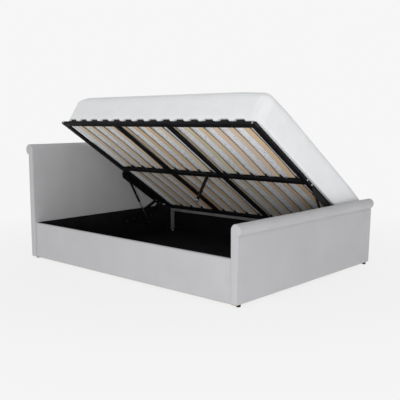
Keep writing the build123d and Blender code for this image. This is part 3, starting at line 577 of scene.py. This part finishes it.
# Mattress
def pad_ring(inset, t):
    """A ring of the mattress's plan, drawn in by an inset, with the same points in every ring."""
    mid_x, mid_s = (PAD_FOOT + PAD_HEAD) / 2, (PAD_FAR + PAD_NEAR) / 2
    a, b = (PAD_FOOT - PAD_HEAD) / 2 - inset, (PAD_FAR - PAD_NEAR) / 2 - inset
    r = max(PAD_CORNER - inset, min(PAD_LOW_EDGE, b / 2))
    runs = (
        (1, 1, 0, LENGTH_POINTS),
        (-1, 1, 90, WIDTH_POINTS),
        (-1, -1, 180, LENGTH_POINTS),
        (1, -1, 270, WIDTH_POINTS),
    )
    out = []
    for index, (sx, ss, begin, count) in enumerate(runs):
        corner = (mid_x + sx * (a - r), mid_s + ss * (b - r))
        for k in range(CORNER_POINTS + 1):
            angle = math.radians(begin + 90 * k / CORNER_POINTS)
            out.append((corner[0] + r * math.cos(angle), corner[1] + r * math.sin(angle), t))
        nx, ns, begin = runs[(index + 1) % 4][:3]
        angle = math.radians(begin)
        x0, s0 = out[-1][:2]
        x1 = mid_x + nx * (a - r) + r * math.cos(angle)
        s1 = mid_s + ns * (b - r) + r * math.sin(angle)
        for k in range(1, count):
            out.append((x0 + (x1 - x0) * k / count, s0 + (s1 - s0) * k / count, t))
    return out


def pad_profile():
    """Insets, heights and kinds of the rings, from the underside's middle round to the top's middle."""
    reach = (PAD_FAR - PAD_NEAR) / 2 - MIDDLE_GAP
    wall_low = PAD_BASE + PAD_LOW_EDGE
    wall_top = PAD_TOP - PAD_SHOULDER
    rings = []
    for k in range(FLAT_RINGS):
        rings.append((PAD_BORDER + (reach - PAD_BORDER) * (1 - k / FLAT_RINGS), PAD_BASE, "under"))
    for share in (1.0, 0.6, 0.2):
        rings.append((PAD_LOW_EDGE + (PAD_BORDER - PAD_LOW_EDGE) * share, PAD_BASE, "border"))
    for inset, z in arc(PAD_LOW_EDGE, wall_low, PAD_LOW_EDGE, -90, -180, 3)[:-1]:
        rings.append((inset, z, "border"))
    for k in range(WALL_RINGS + 1):
        kind = "seam" if k == 0 else "side"
        rings.append((0.0, wall_low + (wall_top - SEAM_GROOVE - wall_low) * k / WALL_RINGS, kind))
    rings.append((SEAM_GROOVE, wall_top, "seam"))
    for inset, z in arc(PAD_SHOULDER, wall_top, PAD_SHOULDER, 174, 90, SHOULDER_RINGS):
        rings.append((inset, z, "shoulder"))
    for k in range(1, FLAT_RINGS + 1):
        rings.append((PAD_SHOULDER + (reach - PAD_SHOULDER) * k / FLAT_RINGS, PAD_TOP, "top"))
    return rings


def closed_skin(name, grid):
    """A closed mesh from rings of points: the first and the last ring are filled."""
    count = len(grid[0])
    faces = band_faces(len(grid), count)
    faces.append(tuple(range(count - 1, -1, -1)))
    last = (len(grid) - 1) * count
    faces.append(tuple(range(last, last + count)))
    return new_object(name, grid.reshape(-1, 3), faces)


def swell(grid, kinds):
    """The rings after cloth with air pressure between the held seams. The movement is capped."""
    obj = closed_skin("swelling", grid)
    count = len(grid[0])
    held = []
    for row, kind in enumerate(kinds):
        if kind in ("seam", "under", "border"):
            held += range(row * count, (row + 1) * count)
    pins = obj.vertex_groups.new(name="pins")
    pins.add(held, 1.0, "REPLACE")
    settings = obj.modifiers.new("swell", "CLOTH").settings
    settings.quality = 4
    settings.mass = 0.3
    settings.tension_stiffness = 12
    settings.compression_stiffness = 12
    settings.bending_stiffness = 2.0
    settings.use_pressure = True
    settings.uniform_pressure_force = 4
    settings.effector_weights.gravity = 0
    settings.vertex_group_mass = "pins"
    scene = bpy.context.scene
    for number in range(1, SWELL_FRAMES + 1):
        scene.frame_set(number)
    moved = obj.evaluated_get(bpy.context.evaluated_depsgraph_get()).to_mesh()
    step = np.array([v.co[:] for v in moved.vertices]).reshape(grid.shape) - grid
    bpy.data.objects.remove(obj)
    scene.frame_set(1)
    size = np.linalg.norm(step, axis=2, keepdims=True)
    return grid + step * np.minimum(1.0, SWELL_LIMIT / np.maximum(size, 1e-9))


def woven_in(rows, between):
    """Rows with the rows between them."""
    out = np.empty((len(rows) + len(between),) + rows.shape[1:])
    out[0::2] = rows
    out[1::2] = between
    return out


def refine(grid):
    """The rings with a smooth new point between every two points and a new ring between every two rings."""
    points = np.swapaxes(grid, 0, 1)
    near = points + np.roll(points, -1, axis=0)
    far = np.roll(points, 1, axis=0) + np.roll(points, -2, axis=0)
    rings = np.swapaxes(woven_in(points, (9 * near - far) / 16), 0, 1)
    before = np.concatenate([rings[:1], rings[:-2]])
    after = np.concatenate([rings[2:], rings[-1:]])
    return woven_in(rings, (9 * (rings[:-1] + rings[1:]) - before - after) / 16)


def eased(start, stop, value):
    """0 before start, 1 past stop, and a smooth rise between them."""
    share = min(1.0, max(0.0, (value - start) / (stop - start)))
    return share * share * (3 - 2 * share)


def droop(x, s, t):
    """How far the mattress's lower edge hangs down, past the last slats and between the slats' caps."""
    past_slats = eased(LAST_SLAT + PAST_SLATS[0], LAST_SLAT + PAST_SLATS[1], abs(x))
    from_slat = abs(x / SLAT_PITCH + 0.5 - round(x / SLAT_PITCH + 0.5)) * SLAT_PITCH
    from_edge = min(s - PAD_NEAR, PAD_FAR - s)
    past_cap = eased(CAP_HALF + PAST_CAP[0], CAP_HALF + PAST_CAP[1], from_slat)
    between_caps = past_cap * (1 - eased(*FROM_EDGE, from_edge))
    low = min(1.0, max(0.0, (PAD_TOP - t) / (PAD_TOP - PAD_BASE)))
    return PAD_DROOP * max(past_slats, between_caps) * low ** 3


def slump(x, s, t):
    """How far the mattress's upper corners sink."""
    depth, reach = HEAD_SLUMP if x < 0 else FOOT_SLUMP
    from_corner = math.hypot(min(x - PAD_HEAD, PAD_FOOT - x), min(s - PAD_NEAR, PAD_FAR - s))
    high = min(1.0, max(0.0, (t - PAD_BASE) / (PAD_TOP - PAD_BASE)))
    return depth * (1 - eased(0.0, reach, from_corner)) * high


def settled(x, s, t):
    """A place on the mattress after it sank and drooped, in the room."""
    return platform_point(x, s, t - droop(x, s, t) - slump(x, s, t))


def make_mattress():
    """The mattress: swollen cloth kept in its own space, then settled on the platform."""
    rings = pad_profile()
    kinds = [kind for _, _, kind in rings]
    grid = np.array([pad_ring(inset, t) for inset, t, _ in rings])
    grid = swell(grid, kinds)
    grid = refine(grid)
    low = (PAD_HEAD - SLACK, PAD_NEAR - SLACK, PAD_BASE)
    high = (PAD_FOOT + SLACK, PAD_FAR + SLACK, PAD_TOP + SWELL_LIMIT)
    grid = np.clip(grid, low, high)
    placed = np.array([[settled(*point) for point in ring] for ring in grid])
    pad = closed_skin("mattress_body", placed)
    settle(pad, white_cloth, "platform")
    pad.data.materials.append(under_cloth)
    # The underside's middle takes the blotched cloth and its outer border strip the white knit: partly the
    # mattress's own border, partly painted light for the lit strip along its lower edges
    under = 2 * kinds.index("border") * len(placed[0])
    for poly in pad.data.polygons:
        if max(poly.vertices) < under:
            poly.material_index = 1
    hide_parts("mattress")


def make_piping(name, inset, t):
    """A closed cord of piping along a ring of the mattress."""
    plan = resample([(x, s) for x, s, _ in pad_ring(inset, t)], PIPE_STEP)
    path = [Vector(settled(x, s, t)) for x, s in plan]
    top = Vector((0, math.sin(OPENING), math.cos(OPENING)))
    sides = 8
    verts = []
    for k, here in enumerate(path):
        ahead = (path[(k + 1) % len(path)] - path[k - 1]).normalized()
        across = ahead.cross(top).normalized()
        for u, v in arc(0, 0, PIPE, 0, 360, sides)[:-1]:
            verts.append(here + across * u + top * v)
    pipe = new_object(name, verts, band_faces(len(path), sides, closed=True))
    settle(pipe, piping_tape_with_shade, "platform")


# Camera, floor and light
def place_camera():
    """The photograph's camera, from its azimuth, elevation, roll, distance and lens."""
    level = math.cos(CAMERA_ELEVATION)
    back_x = math.sin(CAMERA_AZIMUTH) * level
    back_y = -math.cos(CAMERA_AZIMUTH) * level
    back = Vector((back_x, back_y, math.sin(CAMERA_ELEVATION)))
    right = (-back).cross(Vector((0, 0, 1))).normalized()
    up = right.cross(-back).normalized()
    turned_right = right * math.cos(CAMERA_ROLL) + up * math.sin(CAMERA_ROLL)
    turned_up = up * math.cos(CAMERA_ROLL) - right * math.sin(CAMERA_ROLL)
    data = bpy.data.cameras.new("camera")
    data.sensor_width = SENSOR
    data.lens = CAMERA_LENS
    data.clip_end = 2 * FLOOR_HALF
    camera = bpy.data.objects.new("camera", data)
    bpy.context.scene.collection.objects.link(camera)
    place = Matrix((turned_right, turned_up, back)).transposed().to_4x4()
    place.translation = Vector(CAMERA_TARGET) + back * CAMERA_DISTANCE
    camera.matrix_world = place
    bpy.context.scene.camera = camera


def make_floor():
    """A pale studio floor whose glow grows outward, so that it fades into the background."""
    half = FLOOR_HALF
    corners = [(-half, -half, 0), (half, -half, 0), (half, half, 0), (-half, half, 0)]
    floor = new_object("floor", corners, [(0, 1, 2, 3)])
    n = Nodes("pale_floor")
    glow = n.add("ShaderNodeEmission")
    glow.inputs["Color"].default_value = (BACKGROUND, BACKGROUND, BACKGROUND, 1)
    radius = n.add("ShaderNodeVectorMath")
    radius.operation = "LENGTH"
    n.link(n.coords, radius.inputs[0])
    fade = n.add("ShaderNodeMapRange")
    fade.inputs["From Min"].default_value = GLOW_RADII[0]
    fade.inputs["From Max"].default_value = GLOW_RADII[1]
    fade.inputs["To Min"].default_value = GLOW_SHARES[0]
    fade.inputs["To Max"].default_value = GLOW_SHARES[1]
    n.link(radius.outputs["Value"], fade.inputs["Value"])
    grain = n.noise(3.0)
    paper = n.ramp(grain, [(0.3, (0.86, 0.86, 0.86)), (0.7, (0.88, 0.88, 0.88))])
    n.done(paper, 0.9, n.bump(grain, 0.1, 0.001), specular=0.1)
    blend = n.add("ShaderNodeMixShader")
    n.link(fade.outputs["Result"], blend.inputs[0])
    n.link(n.shader.outputs[0], blend.inputs[1])
    n.link(glow.outputs[0], blend.inputs[2])
    n.link(blend.outputs[0], n.tree.nodes["Material Output"].inputs["Surface"])
    floor.data.materials.append(n.material)


def make_world():
    """A plain pale background, and a softer light from it than it shows."""
    world = bpy.data.worlds.new("studio")
    bpy.context.scene.world = world
    world.use_nodes = True
    tree = world.node_tree
    seen = tree.nodes["Background"]
    seen.inputs["Color"].default_value = (BACKGROUND, BACKGROUND, BACKGROUND, 1)
    seen.inputs["Strength"].default_value = 1.0
    light = tree.nodes.new("ShaderNodeBackground")
    light.inputs["Color"].default_value = (1, 1, 1, 1)
    light.inputs["Strength"].default_value = WORLD_LIGHT
    path = tree.nodes.new("ShaderNodeLightPath")
    blend = tree.nodes.new("ShaderNodeMixShader")
    tree.links.new(path.outputs["Is Camera Ray"], blend.inputs[0])
    tree.links.new(light.outputs[0], blend.inputs[1])
    tree.links.new(seen.outputs[0], blend.inputs[2])
    tree.links.new(blend.outputs[0], tree.nodes["World Output"].inputs["Surface"])


def area_light(name, place, aim, size, power):
    """A soft light that the camera doesn't see."""
    data = bpy.data.lights.new(name, "AREA")
    data.shape = "RECTANGLE"
    data.size, data.size_y = size
    data.energy = power
    lamp = bpy.data.objects.new(name, data)
    bpy.context.scene.collection.objects.link(lamp)
    lamp.location = place
    lamp.rotation_euler = (Vector(aim) - Vector(place)).to_track_quat("-Z", "Y").to_euler()
    lamp.visible_camera = False


dress_frame()
make_board("headboard", -1, HEAD_THICKNESS, HEAD_THICKNESS)
make_board("footboard", 1, FOOT_BASE_THICKNESS, FOOT_TOP_THICKNESS)
make_rail("near", -1)
make_rail("far", 1)
make_mattress()
make_piping("mattress_piping_low", SLACK, PAD_BASE + SLACK)
make_piping("mattress_piping_top", SEAM_GROOVE / 2, PAD_TOP - PAD_SHOULDER)
place_camera()
make_floor()
make_world()
area_light("front", place=(3.0, -4.0, 0.6), aim=(0.2, 0, 0.5), size=(2.4, 0.9), power=62)
bpy.context.scene.view_settings.view_transform = "Standard"
